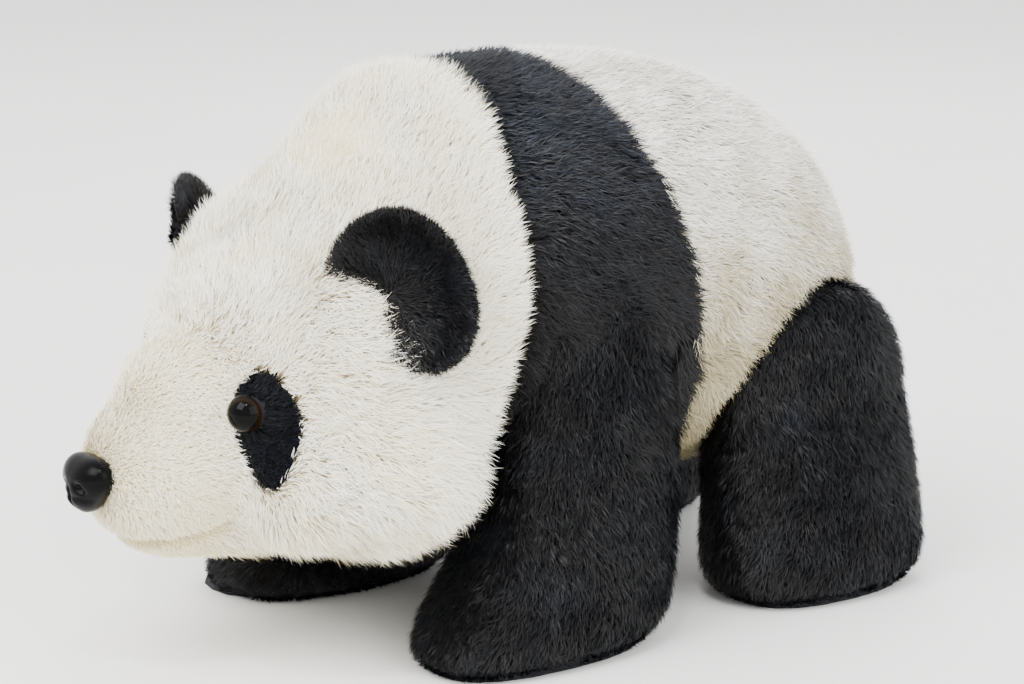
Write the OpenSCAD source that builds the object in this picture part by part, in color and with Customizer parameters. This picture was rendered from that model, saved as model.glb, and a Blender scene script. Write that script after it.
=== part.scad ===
// Stuffed panda standing on four legs, sewn from pile fabric over fibre filling.
// Millimetres, +Z up, the face looks along -Y, the animal's left side is +X.
// The origin is on the ground, in the middle of the outline.

/* [Trunk] */
// Width of the trunk over its fabric
body_w = 176; // [160:1:190]
// Height of the trunk from belly to back
body_h = 190; // [190:1:212]
// Height of the neck and trunk centre above the ground
body_z = 143; // [142:1:160]
// Place of the neck centre along the animal
neck_y = -8; // [-13:1:-3]
// Length of the trunk behind the neck centre
rump_l = 190; // [175:1:205]
// How much lower the rump ends than the shoulders
rump_drop = 24; // [20:1:45]
// Where the black shoulder band ends on the back
band_back_y = 37; // [29:1:47]
// Lean of the band's rear edge, in degrees
band_lean = 5; // [0:1:10]
// Width of the belly and chest panels
belly_w = 57; // [48:1:60]

/* [Head] */
// Width of the head
head_w = 182; // [176:1:190]
// Height of the head
head_h = 198; // [198:1:220]
// Centre of the head along the animal
head_y = -58; // [-63:1:-53]
// Length from the head's centre to the forehead
head_l = 98; // [98:1:116]
// Fall of the head's axis for each millimetre forward
head_fall = 0.44; // [0.1:0.01:0.44]
// Where the head's rear rim meets the middle of the neck
rim_y = -46; // [-51:1:-43]
// Lean of the head's rear rim, in degrees
rim_lean = 10; // [8:1:14]
// Width of the strip of fabric over the crown and forehead
gusset_w = 56; // [40:1:64]
// Width of the panel under the chin
chin_w = 60; // [50:1:70]

/* [Muzzle] */
// Width of the muzzle
muzzle_w = 80; // [74:1:92]
// Height of the muzzle
muzzle_h = 76; // [76:1:90]
// Height of the muzzle's axis above the ground
muzzle_z = 82; // [82:1:96]
// How far forward the muzzle's tip is
muzzle_tip = 189; // [189:1:213]
// Height of the mouth seam above the ground
mouth_z = 60; // [60:1:70]
// Width of the nose
nose_w = 25; // [20:1:30]
// Height of the nose
nose_h = 22; // [18:1:26]
// How far the nose stands out of the muzzle
nose_d = 11; // [8:1:13]

/* [Eyes] */
// Diameter of a safety eye
eye_d = 15; // [12:1:18]
// Sideways place of an eye
eye_x = 44; // [36:1:46]
// Height of an eye above the ground
eye_z = 112; // [112:1:128]
// Height of an eye patch
patch_h = 45; // [38:1:52]
// Width of an eye patch
patch_w = 29; // [24:1:34]
// Diameter of the eye and nose stems
stem_d = 5; // [4:0.5:6]
// Diameter of the lock washers
washer_d = 17; // [14:1:20]

/* [Ears] */
// Height of an ear
ear_h = 76; // [64:1:84]
// Depth of an ear from front to back
ear_l = 62; // [52:1:68]
// How far an ear stands out from the head
ear_out = 31; // [26:1:38]
// Sideways place of the ear's hollow
ear_x = 66; // [66:1:76]
// Place of the ear's hollow along the animal
ear_y = -90; // [-105:1:-90]
// Height of the ear's hollow above the ground
ear_z = 152; // [150:1:160]
// Thickness of one ear panel
ear_t = 4; // [3:0.5:5]

/* [Legs] */
// Distance from the middle to a leg's inner side
leg_in = 38; // [36:1:42]
// Distance from the middle to a paw's outer side
leg_out = 107; // [100:1:112]
// Place of the front legs' hinge along the animal
front_y = 4; // [1:1:9]
// Height of the front legs' hinge
front_z = 120.5; // [118:0.5:130]
// Radius of the front legs' round top
front_r = 42; // [38:1:46]
// How far the left front paw is ahead of its shoulder
left_step = 30; // [5:1:30]
// How far the right front paw is ahead of its shoulder
right_step = 50; // [40:1:62]
// Place of the hind legs' hinge along the animal
hind_y = 128; // [121:1:131]
// Height of the hind legs' hinge
hind_z = 85; // [85:1:110]
// Radius of the hind legs' round top
hind_r = 54; // [54:1:62]
// Half length of a front paw
front_paw = 64; // [42:1:64]
// Half length of a hind paw
hind_paw = 56; // [48:1:58]

/* [Tail] */
// Length of the tail
tail_l = 40; // [30:1:48]
// Width of the tail
tail_w = 34; // [26:1:40]

/* [Fabric and fits] */
// Thickness of the pile fabric
cover_t = 4; // [3:0.5:5]
// Thickness of a sole pad
sole_t = 3; // [2:0.5:4]
// Gap between pieces that move against each other
move_gap = 1.1; // [0.9:0.1:1.4]
// Gap around the stems and washers
stem_gap = 0.3; // [0.2:0.1:0.5]
// How far the head nods each way, in degrees
nod = 6; // [3:1:8]
// How far a leg swings each way, in degrees
swing = 6; // [3:1:8]
// How far an ear flops each way, in degrees
flop = 12; // [6:1:15]
// How far the tail moves each way, in degrees
wag = 10; // [6:1:12]

/* [Hidden] */

black = "#15161a";
white = "#f4efe0";
short_cream = "#efe7cd";
grey_white = "#d6d1c4";
filling = "#fbfbf8";
plastic = "#0c0c0e";

ring_n = 20;       // points round a form
ring_m = 5;        // rings along half a form
ear_n = 12;        // points round an ear
trunk_p = 2.9;     // fullness of the rump
head_p = 2.0;      // fullness of the head
muzzle_p = 2.5;    // fullness of the muzzle
pole = 86;         // last ring's angle, where a form ends in a small flat
big = 400;
body_r = body_h / 2;
leg_top_out = body_w / 2 + 1;
eye_r = eye_d / 2;
stem_r = stem_d / 2;
stem_l = 15;
washer_t = 1.6;     // thickness of a lock washer
washer_set = 3;     // gap from the inner face of the fabric to a washer
mouth_lean = -6;
tail_lean = -125;
muzzle_y = -135;
muzzle_l = muzzle_tip + muzzle_y;
nose_z = muzzle_z + 3.4;
tail_y = neck_y + rump_l - 16;
tail_z = body_z - 8;
head_p_axis = eye_axis();

// A power that keeps its argument's sign, for rounded-square sections
function sp(v, e) = sign(v) * pow(abs(v), e);

// Centre height of the trunk and of the head at a place along the animal
function trunk_z(y) = body_z - rump_drop * pow(max(0, (y - neck_y) / rump_l), trunk_p);
function head_z(y) = body_z + head_fall * min(0, y - rim_y);

// An ellipse of n points across the animal at one place along it
function section(y, zc, hw, hh, n = ring_n) =
    [for (k = [0:n - 1]) let (a = 360 * k / n) [hw * sin(a), y, zc + hh * cos(a)]];

// The angle a surface normal makes at the eye, from its ellipse
function eye_u(x) = x / (head_w / 2);
function eye_y() = head_y - head_l * pow(1 - pow(eye_u(eye_x), head_p), 1 / head_p);
function eye_axis() = atan2(pow(eye_u(eye_x), head_p - 1) / head_w * 2,
    pow(1 - pow(eye_u(eye_x), head_p), (head_p - 1) / head_p) / head_l);

// One closed skin through rings of points, flat at both ends
module skin(rings) {
    n = len(rings[0]);
    m = len(rings);
    sides = [for (i = [0:m - 2], j = [0:n - 1]) let (a = i * n + j, b = i * n + (j + 1) % n)
        each [[a, a + n, b], [b, a + n, b + n]]];
    ends = [[for (j = [0:n - 1]) j], [for (j = [n - 1:-1:0]) (m - 1) * n + j]];
    polyhedron([for (r = rings) each r], concat(sides, ends), convexity = 6);
}

// Trunk: a round dome towards the head, a long full rump behind, t inside its fabric
module trunk(t) {
    skin(concat(
        [for (k = [ring_m:-1:1]) let (v = pole * k / ring_m)
            section(neck_y - (body_r - t) * sin(v), body_z,
                (body_w / 2 - t) * cos(v), (body_r - t) * cos(v))],
        [for (k = [0:ring_m]) let (v = pole * k / ring_m, e = 2 / trunk_p, f = sp(cos(v), e),
            y = neck_y + (rump_l - t) * sp(sin(v), e))
            section(y, trunk_z(y), (body_w / 2 - t) * f, (body_r - t) * f)]));
}

// Head: straight at the rear, an ellipse-like face in front
module head_form(t) {
    skin(concat(
        [for (k = [ring_m:-1:0]) let (v = pole * k / ring_m, e = 2 / head_p, f = sp(cos(v), e),
            y = head_y - (head_l - t) * sp(sin(v), e))
            section(y, head_z(y), (head_w / 2 - t) * f, (head_h / 2 - t) * f)],
        [section(rim_y, body_z, head_w / 2 - t, head_h / 2 - t),
         section(neck_y, body_z, head_w / 2 - t, head_h / 2 - t)]));
}

module muzzle_form(t) {
    skin(concat(
        [for (k = [ring_m:-1:0]) let (v = pole * k / ring_m, e = 2 / muzzle_p, f = sp(cos(v), e))
            section(muzzle_y - (muzzle_l - t) * sp(sin(v), e), muzzle_z,
                (muzzle_w / 2 - t) * f, (muzzle_h / 2 - t) * f)],
        [section(muzzle_y + 30, muzzle_z + 6, muzzle_w / 2 - t, muzzle_h / 2 - t)]));
}

// The hollow in the head's rear, which turns on the trunk's front dome
module neck_hollow() {
    out = 1 / cos(180 / ring_n);   // keeps the flats outside the true surface
    ry = (body_r + move_gap) * out;
    rx = (body_w / 2 + move_gap) * out;
    translate([0, neck_y, 0])
        skin([for (k = [-ring_m:ring_m]) let (v = pole * k / ring_m)
            section(ry * sin(v), body_z, rx * cos(v), ry * cos(v))]);
}

// Everything in front of the head's rear rim, moved forward by d
module ahead_of_rim(d) {
    translate([0, rim_y - d, body_z])
        rotate([-rim_lean, 0, 0])
            translate([-big / 2, -big, -big / 2])
                cube(big);
}

// Joins a fabric or filling piece's cuts into one closed skin
module sewn() {
    resize([0, 0, 0])
        children();
}

module right_or_left(side) {
    translate([side > 0 ? 0 : -big, -big, -big])
        cube([big, 2 * big, 2 * big]);
}

// A slab across the middle of the animal, from height z0 to z1
module middle(w, z0, z1) {
    translate([-w / 2, -big, z0])
        cube([w, 2 * big, z1 - z0]);
}

module band_zone() {
    difference() {
        translate([0, band_back_y, body_z + body_r])
            rotate([band_lean, 0, 0])
                translate([-big / 2, -big, -big])
                    cube([big, big, 2 * big]);
        ahead_of_rim(24);
    }
}

// Direction out of the face at the eye on one side
module at_eye(side) {
    translate([side * eye_x, eye_y(), eye_z])
        rotate([0, 0, side * head_p_axis])
            rotate([90, 0, 0])
                children();
}

module at_nose() {
    translate([0, -muzzle_tip, nose_z])
        rotate([90, 0, 0])
            children();
}

// Outline of an eye patch, long axis leaning outwards at its lower end
module patch_tool(side) {
    at_eye(side)
        translate([side * 2, -6, -12])
            rotate([0, 0, side * 16])
                scale([patch_w / patch_h, 1, 1])
                    cylinder(d = patch_h, h = 30, $fn = 36);
}

// Room for a stem, its lock washer and the fabric's turned edge
module stem_room() {
    translate([0, 0, -stem_l - 3])
        cylinder(r = stem_r + stem_gap, h = stem_l + 30, $fn = 24);
}

module washer_room() {
    translate([0, 0, -stem_l - 3])
        cylinder(r = washer_d / 2 + 1, h = stem_l + 3 - cover_t + 0.6, $fn = 24);
}

module head_holes() {
    for (side = [-1, 1])
        at_eye(side)
            stem_room();
    at_nose()
        stem_room();
}

module washer_holes() {
    for (side = [-1, 1])
        at_eye(side)
            washer_room();
    at_nose()
        washer_room();
}

module head_shell() {
    difference() {
        intersection() {
            head_form(0);
            ahead_of_rim(0);
        }
        head_form(cover_t);
        neck_hollow();
        muzzle_form(cover_t);
        head_holes();
        paw_room();
    }
}

module gusset_zone() {
    middle(gusset_w, body_z - 16, big);
}

module chin_zone() {
    middle(chin_w, -big, muzzle_z);
}

module side_cover(side) {
    difference() {
        intersection() {
            head_shell();
            right_or_left(side);
        }
        gusset_zone();
        chin_zone();
        patch_tool(side);
    }
}

// One ring of a leg: a rounded rectangle at height z, g larger all round,
// its outer half moved out by reach
function leg_ring(z, x0, x1, y, ry, g, reach) =
    [for (k = [0:ring_n - 1]) let (a = 360 * k / ring_n, e = 0.8, out = cos(a) > 0.01 ? reach : 0)
        [(x0 + x1) / 2 + ((x1 - x0) / 2 + g) * sp(cos(a), e) + out,
            y + (ry + g) * sp(sin(a), e), z]];

function paw_turn(z) = z < 26 ? sqrt(1 - pow((26 - z) / 26, 2) * 0.42) : 1;

// A leg: its top is round about the hinge, its paw reaches ahead by step
module leg_form(hy, hz, r, step, paw, g, reach, from) {
    low = 5;
    top = 5;
    rings = [for (k = [0:low]) let (z = from + (hz - from) * k / low, s = 1 - z / hz,
        f = paw_turn(z), x1 = leg_top_out + (leg_out - leg_top_out) * s * (2 - s),
        xm = (leg_in + x1) / 2, hx = (x1 - leg_in) / 2 * f)
        leg_ring(z, xm - hx, xm + hx, hy - step * s * s, (r + (paw - r) * s * s) * f, g, reach)];
    dome = [for (k = [1:top]) let (v = pole * k / top)
        leg_ring(hz + (r + g) * sin(v), leg_in, leg_top_out, hy, (r + g) * cos(v) - g, g, reach)];
    skin(concat(rings, dome));
}

module front_leg(step, g, reach, from) {
    leg_form(front_y, front_z, front_r, step, front_paw, g, reach, from);
}

module hind_leg(g, reach, from) {
    leg_form(hind_y, hind_z, hind_r, 0, hind_paw, g, reach, from);
}

module turned(y, z, a) {
    translate([0, y, z])
        rotate([a, 0, 0])
            translate([0, -y, -z])
                children();
}

// All that a leg fills over its swing, opening wider below its hinge
module swung_leg(hy, hz, r, step, paw) {
    low = 5;
    top = 6;
    start = 0.27;       // height of the lowest ring, as a share of the hinge's
    spare = 2;          // room beyond what the swing sweeps
    inward = 4;         // how far it reaches past the inner face
    open = 60;
    g = move_gap;
    x0 = leg_in - inward;
    rings = [for (k = [0:low]) let (z = hz * (start + (1 - start) * k / low), s = 1 - z / hz,
        f = s + sin(swing) * r / hz * min(1, 3 * s),
        x1 = leg_top_out + (leg_out - leg_top_out) * s * (2 - s),
        w = (r + (paw - r) * f * f) / cos(swing) + (hz - z) * tan(swing) + spare * min(1, 4 * s))
        leg_ring(z, x0, x1, hy - step * (s * s + f * f) / 2,
            w + step * (f * f - s * s) / 2, g, open)];
    dome = [for (k = [1:top]) let (v = pole * k / top)
        leg_ring(hz + (r + g) * sin(v), x0 - inward * sin(v), leg_top_out, hy,
            max((r + g) * cos(v), (r + g) * sin(swing)), g, open)];
    skin(concat(rings, dome));
}

// What the legs need of the trunk
module leg_sweep() {
    swung_leg(front_y, front_z, front_r, left_step, front_paw);
    mirror([1, 0, 0])
        swung_leg(front_y, front_z, front_r, right_step, front_paw);
    for (side = [0, 1])
        mirror([side, 0, 0])
            swung_leg(hind_y, hind_z, hind_r, 0, hind_paw);
}

// What the front legs need of the head, with the legs ahead and the head bowed
module paw_room() {
    turned(neck_y, body_z, -nod)
        turned(front_y, front_z, -swing) {
            front_leg(left_step, 1.4 * move_gap, 0, -10);
            mirror([1, 0, 0])
                front_leg(right_step, 1.4 * move_gap, 0, -10);
        }
}

module tail_form(t) {
    translate([0, tail_y, tail_z])
        rotate([tail_lean, 0, 0])
            skin([for (k = [-ring_m:ring_m]) let (v = pole * k / ring_m)
                [for (p = section(0, 0, (tail_w / 2 - t) * cos(v), (tail_w / 2.6 - t) * cos(v)))
                    [-p[0], p[2], tail_l / 2 + (tail_l / 2 - t) * sin(v)]]]);
}

// All that the tail fills over its travel
module tail_sweep() {
    g = move_gap;
    n = 10;
    spare = 2;          // room beyond what the wag sweeps, sideways
    deep = 3.5;         // and up and down
    translate([0, tail_y, tail_z])
        rotate([tail_lean, 0, 0])
            skin([for (k = [-2:2]) let (v = pole * k / 2,
                along = tail_l / 2 * (1 + sin(v)),
                wide = (tail_w / 2 + g) * cos(v) / cos(180 / n) + spare,
                thick = (tail_w / 2.6 + g) * cos(v) / cos(180 / n) + along * tan(wag) + deep)
                [for (p = section(0, 0, wide, thick, n)) [-p[0], p[2], along + (g + spare) * sin(v)]]]);
}

module trunk_shell() {
    difference() {
        trunk(0);
        trunk(cover_t);
        leg_sweep();
        tail_sweep();
    }
}

module belly_zone() {
    middle(belly_w, -big, body_z - 40);
}

module ear_bowl(t) {
    scale([(ear_out - t) / 10, (ear_l / 2 - t) / 10, (ear_h / 2 - t) / 10])
        skin([for (k = [-3:3]) let (v = pole * k / 3)
            section(10 * sin(v), 0, 10 * cos(v), 10 * cos(v), ear_n)]);
}

// The ear opens forwards and down, and stays clear of the head as it flops
module ear_part(side, t0, t1) {
    difference() {
        translate([side * ear_x, ear_y, ear_z])
            difference() {
                ear_bowl(t0);
                ear_bowl(t1);
                rotate([40, 0, 0])
                    translate([-big / 2, -big - 4, -big / 2])
                        cube(big);
            }
        for (a = [-flop, flop])
            ear_turn(side, a)
                head_form(-move_gap);
    }
}

module ear_turn(side, a) {
    translate([side * ear_x, ear_y, ear_z])
        rotate([40, 0, 0])
            rotate([0, 0, a])
                rotate([-40, 0, 0])
                    translate([-side * ear_x, -ear_y, -ear_z])
                        children();
}

module body_stuffing() {
    color(filling) sewn()
        difference() {
            trunk(cover_t);
            leg_sweep();
            tail_sweep();
        }
}

module shoulder_band(side) {
    color(black) sewn()
        difference() {
            intersection() {
                trunk_shell();
                band_zone();
                right_or_left(side);
            }
            belly_zone();
        }
}

module rump_cover(side) {
    color(grey_white) sewn()
        difference() {
            intersection() {
                trunk_shell();
                right_or_left(side);
            }
            band_zone();
            ahead_of_rim(24);
            belly_zone();
        }
}

module chest_panel() {
    color(black) sewn()
        intersection() {
            trunk_shell();
            band_zone();
            belly_zone();
        }
}

module belly_panel() {
    color(grey_white) sewn()
        difference() {
            intersection() {
                trunk_shell();
                belly_zone();
            }
            band_zone();
            ahead_of_rim(24);
        }
}

// The tail is open where it is sewn to the rump
module tail_mouth() {
    translate([0, tail_y, tail_z])
        rotate([tail_lean, 0, 0])
            translate([-tail_w, -tail_w, -1])
                cube([2 * tail_w, 2 * tail_w, 2 * cover_t]);
}

module tail_cover() {
    color(grey_white) sewn()
        difference() {
            tail_form(0);
            tail_form(cover_t);
            tail_mouth();
        }
}

module tail_stuffing() {
    color(filling) sewn()
        tail_form(cover_t);
}

module head_stuffing() {
    color(filling) sewn()
        difference() {
            intersection() {
                union() {
                    head_form(cover_t);
                    muzzle_form(cover_t);
                }
                ahead_of_rim(0);
            }
            neck_hollow();
            paw_room();
            head_holes();
            washer_holes();
        }
}

module head_cover(side) {
    color(white) sewn()
        side_cover(side);
}

module forehead_gusset() {
    color(white) sewn()
        intersection() {
            head_shell();
            gusset_zone();
        }
}

module chin_panel() {
    color(white) sewn()
        intersection() {
            head_shell();
            chin_zone();
        }
}

module muzzle_cover() {
    color(short_cream) sewn()
        difference() {
            muzzle_form(0);
            muzzle_form(cover_t);
            head_form(0);
            head_holes();
        }
}

module mouth_seam() {
    color("#a08f63") sewn()
        intersection() {
            difference() {
                muzzle_form(-1);
                muzzle_form(0);
                head_form(0);
            }
            translate([-big / 2, -muzzle_tip, mouth_z])
                rotate([mouth_lean, 0, 0])
                    translate([0, -big, 0])
                        cube([big, 2 * big, 1.4]);
        }
}

module eye_patch(side) {
    color(black) sewn()
        intersection() {
            head_shell();
            patch_tool(side);
            right_or_left(side);
        }
}

module eye(side) {
    color(plastic)
        at_eye(side)
            translate([0, 0, 0.5])
                union() {
                    rotate_extrude($fn = 64)
                        intersection() {
                            translate([0, -1.5])
                                circle(eye_r + 0.15, $fn = 64);
                            square([eye_r, eye_r]);
                        }
                    translate([0, 0, -stem_l])
                        cylinder(r = stem_r, h = stem_l + 0.5, $fn = 48);
                }
}

module eye_washer(side) {
    color("#e8e8e4")
        at_eye(side)
            translate([0, 0, -cover_t - washer_t - washer_set])
                difference() {
                    cylinder(d = washer_d, h = washer_t, $fn = 64);
                    translate([0, 0, -1])
                        cylinder(r = stem_r, h = washer_t + 2, $fn = 48);
                }
}

// One rounded corner of the nose, flattened along its depth
module nose_corner(x, y, r, d) {
    translate([x, y, 0])
        scale([1, 1, d / r])
            sphere(r, $fn = 24);
}

module nose() {
    wide = nose_w / 2 - 6.5;
    color(plastic)
        at_nose()
            translate([0, 0, 0.4]) {
                difference() {
                    hull() {
                        nose_corner(-wide, nose_h / 2 - 7, 6.5, nose_d);
                        nose_corner(wide, nose_h / 2 - 7, 6.5, nose_d);
                        nose_corner(0, 6 - nose_h / 2, 6, nose_d - 2);
                    }
                    translate([-big / 2, -big / 2, -big])
                        cube(big);
                }
                translate([0, 0, -stem_l])
                    cylinder(r = stem_r, h = stem_l + 1, $fn = 48);
            }
}

module nose_washer() {
    color("#e8e8e4")
        at_nose()
            translate([0, 0, -cover_t - washer_t - washer_set])
                difference() {
                    cylinder(d = washer_d, h = washer_t, $fn = 64);
                    translate([0, 0, -1])
                        cylinder(r = stem_r, h = washer_t + 2, $fn = 48);
                }
}

module ear_back(side) {
    color(black) sewn()
        ear_part(side, 0, ear_t);
}

module ear_lining(side) {
    color(black) sewn()
        ear_part(side, ear_t, 2 * ear_t);
}

// Inner or outer half of a leg's cover, split through the middle of the leg
module leg_half(outer) {
    split = (leg_in + leg_out) / 2;
    translate([outer ? split : split - big, -big, sole_t])
        cube([big, 2 * big, big]);
}

module front_cover(step, outer) {
    color(black) sewn()
        intersection() {
            difference() {
                front_leg(step, 0, 0, 0);
                front_leg(step, -cover_t, 0, -1);
            }
            leg_half(outer);
        }
}

module hind_cover(outer) {
    color(black) sewn()
        intersection() {
            difference() {
                hind_leg(0, 0, 0);
                hind_leg(-cover_t, 0, -1);
            }
            leg_half(outer);
        }
}

module above_sole() {
    translate([-big / 2, -big / 2, sole_t])
        cube(big);
}

module front_stuffing(step) {
    color(filling) sewn()
        intersection() {
            front_leg(step, -cover_t, 0, -1);
            above_sole();
        }
}

module hind_stuffing() {
    color(filling) sewn()
        intersection() {
            hind_leg(-cover_t, 0, -1);
            above_sole();
        }
}

module front_sole(step) {
    color(black) sewn()
        difference() {
            front_leg(step, 0, 0, 0);
            above_sole();
        }
}

module hind_sole() {
    color(black) sewn()
        difference() {
            hind_leg(0, 0, 0);
            above_sole();
        }
}

body_stuffing();
shoulder_band(1);  // shoulder_band_left
shoulder_band(-1);  // shoulder_band_right
rump_cover(1);  // rump_cover_left
rump_cover(-1);  // rump_cover_right
chest_panel();
belly_panel();
tail_cover();
tail_stuffing();
head_stuffing();
head_cover(1);  // head_cover_left
head_cover(-1);  // head_cover_right
forehead_gusset();
chin_panel();
muzzle_cover();
mouth_seam();
eye_patch(1);  // eye_patch_left
eye_patch(-1);  // eye_patch_right
eye(1);  // eye_left
eye(-1);  // eye_right
eye_washer(1);  // eye_washer_left
eye_washer(-1);  // eye_washer_right
nose();
nose_washer();
ear_back(1);  // ear_back_left
ear_lining(1);  // ear_lining_left
ear_back(-1);  // ear_back_right
ear_lining(-1);  // ear_lining_right
front_cover(left_step, true);  // front_leg_outer_left
front_cover(left_step, false);  // front_leg_inner_left
front_stuffing(left_step);  // front_leg_stuffing_left
front_sole(left_step);  // front_sole_left
mirror([1, 0, 0]) front_cover(right_step, true);  // front_leg_outer_right
mirror([1, 0, 0]) front_cover(right_step, false);  // front_leg_inner_right
mirror([1, 0, 0]) front_stuffing(right_step);  // front_leg_stuffing_right
mirror([1, 0, 0]) front_sole(right_step);  // front_sole_right
hind_cover(true);  // hind_leg_outer_left
hind_cover(false);  // hind_leg_inner_left
hind_stuffing();  // hind_leg_stuffing_left
hind_sole();  // hind_sole_left
mirror([1, 0, 0]) hind_cover(true);  // hind_leg_outer_right
mirror([1, 0, 0]) hind_cover(false);  // hind_leg_inner_right
mirror([1, 0, 0]) hind_stuffing();  // hind_leg_stuffing_right
mirror([1, 0, 0]) hind_sole();  // hind_sole_right
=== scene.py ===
import bpy
import math
import numpy as np
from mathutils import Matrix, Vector


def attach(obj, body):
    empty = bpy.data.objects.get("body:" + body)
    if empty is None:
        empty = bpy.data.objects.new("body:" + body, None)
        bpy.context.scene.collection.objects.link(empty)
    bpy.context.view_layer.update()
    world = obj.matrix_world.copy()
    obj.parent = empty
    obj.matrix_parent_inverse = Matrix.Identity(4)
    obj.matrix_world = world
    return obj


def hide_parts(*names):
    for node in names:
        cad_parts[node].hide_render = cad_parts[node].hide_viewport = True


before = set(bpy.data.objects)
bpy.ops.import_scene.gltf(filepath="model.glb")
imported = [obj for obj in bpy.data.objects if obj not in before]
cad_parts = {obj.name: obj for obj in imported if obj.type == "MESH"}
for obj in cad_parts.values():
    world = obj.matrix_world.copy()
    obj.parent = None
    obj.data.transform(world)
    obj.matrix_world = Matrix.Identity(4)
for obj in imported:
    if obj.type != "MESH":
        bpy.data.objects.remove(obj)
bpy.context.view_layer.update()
scene = bpy.context.scene
print("frame loaded")

# camera: front left of the animal, a little above its shoulder
camera = {"azimuth": 55, "elevation": 12.5, "distance": 1.1, "lens": 90.7,
          "aim": (0, -0.013, 0.122), "shiftX": 0.0527, "shiftY": -0.0156}


def placeCamera(c):
    az, el = math.radians(c["azimuth"]), math.radians(c["elevation"])
    away = Vector((math.sin(az) * math.cos(el), -math.cos(az) * math.cos(el), math.sin(el)))
    data = bpy.data.cameras.new("camera")
    data.lens = c["lens"]
    data.shift_x = c["shiftX"]
    data.shift_y = c["shiftY"]
    data.clip_start = 0.05
    obj = bpy.data.objects.new("camera", data)
    obj.location = Vector(c["aim"]) + away * c["distance"]
    obj.rotation_euler = (-away).to_track_quat("-Z", "Y").to_euler()
    scene.collection.objects.link(obj)
    scene.camera = obj


placeCamera(camera)


def linear(code):
    parts = [int(code[i:i + 2], 16) / 255 for i in (1, 3, 5)]
    return tuple(p / 12.92 if p <= 0.04045 else ((p + 0.055) / 1.055) ** 2.4 for p in parts) + (1.0,)


def addNode(tree, kind, settings=None, links=None):
    node = tree.nodes.new(kind)
    for key, value in (settings or {}).items():
        if isinstance(key, str) and hasattr(node, key):
            setattr(node, key, value)
        else:
            node.inputs[key].default_value = value
    for key, source in (links or {}).items():
        tree.links.new(source, node.inputs[key])
    return node


def ramp(tree, source, stops):
    node = addNode(tree, "ShaderNodeValToRGB", links={"Fac": source})
    band = node.color_ramp
    while len(band.elements) < len(stops):
        band.elements.new(0.5)
    for element, (place, colour) in zip(band.elements, stops):
        element.position = place
        element.color = linear(colour)
    return node.outputs["Color"]


# ---- forms, in millimetres ----

trunk = {"width": 176, "height": 190, "centre": 143, "neck": -8, "length": 190, "drop": 24,
         "fullness": 2.9, "inset": 3.2, "voxel": 6}
head = {"width": 182, "height": 198, "centre": 143, "middle": -58, "length": 98, "fall": 0.44,
        "rim": -46, "seat": -49, "leanUp": 4, "leanDown": 20, "topBack": 13, "inset": 3.2, "voxel": 4.2}
muzzle = {"width": 80, "height": 76, "z": 82, "start": -135, "tip": -189, "fullness": 2.5,
          "inset": 2.2}
legs = {
    "front_leg_left": {"side": 1, "y": 4, "z": 120, "round": 42, "step": 33, "paw": 64, "toeIn": 0},
    "front_leg_right": {"side": -1, "y": 4, "z": 120, "round": 42, "step": 50, "paw": 64, "toeIn": 16},
    "hind_leg_left": {"side": 1, "y": 128, "z": 85, "round": 54, "step": 0, "paw": 57, "toeIn": 0},
    "hind_leg_right": {"side": -1, "y": 128, "z": 85, "round": 54, "step": 0, "paw": 57, "toeIn": 0}}
legInner, legOuter, legTop = 38, 107, 89


def power(v, e):
    return np.sign(v) * np.abs(v) ** e


def smoothStep(v, a, b):
    t = np.clip((v - a) / (b - a), 0, 1)
    return t * t * (3 - 2 * t)


def ringSet(rows, n=72):
    a = np.linspace(0, 2 * np.pi, n, endpoint=False)
    return np.array([[(hw * np.sin(k), y, zc + hh * np.cos(k)) for k in a] for y, zc, hw, hh in rows])


def meshFrom(name, rings):
    m, n, _ = rings.shape
    points = rings.reshape(-1, 3).tolist()
    points += [rings[0].mean(0).tolist(), rings[-1].mean(0).tolist()]
    faces = []
    for i in range(m - 1):
        for j in range(n):
            k = (j + 1) % n
            faces.append((i * n + j, i * n + k, (i + 1) * n + k, (i + 1) * n + j))
    for j in range(n):
        k = (j + 1) % n
        faces.append((m * n, k, j))
        faces.append((m * n + 1, (m - 1) * n + j, (m - 1) * n + k))
    return meshObject(name, np.array(points), faces)


def meshObject(name, points, faces):
    tris = [(f[0], f[i], f[i + 1]) for f in faces for i in range(1, len(f) - 1)]
    p = points[np.array(tris)]
    if np.einsum("ij,ij->i", p[:, 0], np.cross(p[:, 1], p[:, 2])).sum() < 0:
        faces = [f[::-1] for f in faces]
    mesh = bpy.data.meshes.new(name)
    mesh.from_pydata((points / 1000).tolist(), [], faces)
    mesh.update()
    obj = bpy.data.objects.new(name, mesh)
    scene.collection.objects.link(obj)
    return obj


def trunkAxis(y):
    along = np.clip((y - trunk["neck"]) / trunk["length"], 0, 2)
    return trunk["centre"] - trunk["drop"] * along ** trunk["fullness"]


def trunkRows(t):
    w, h, y0 = trunk["width"] / 2 - t, trunk["height"] / 2 - t, trunk["neck"]
    rows = []
    for v in np.radians(np.linspace(-88, 0, 24)):
        rows.append((y0 + h * np.sin(v), trunk["centre"], w * np.cos(v), h * np.cos(v)))
    e = 2 / trunk["fullness"]
    for v in np.radians(np.linspace(3, 88.5, 34)):
        y = y0 + (trunk["length"] - t) * np.sin(v) ** e
        rows.append((y, trunkAxis(y), w * np.cos(v) ** e, h * np.cos(v) ** e))
    return rows


def headRows(t):
    w, h, y0 = head["width"] / 2 - t, head["height"] / 2 - t, head["middle"]
    rows = []
    for v in np.radians(np.linspace(88, 0, 30)):
        y = y0 - (head["length"] - t) * np.sin(v)
        rows.append((y, head["centre"] + head["fall"] * (y - head["rim"]), w * np.cos(v), h * np.cos(v)))
    rows.append((head["rim"], head["centre"], w, h))
    rows.append((head["rim"] + 26, head["centre"], w * 0.96, h * 0.96))
    return rows


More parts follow.
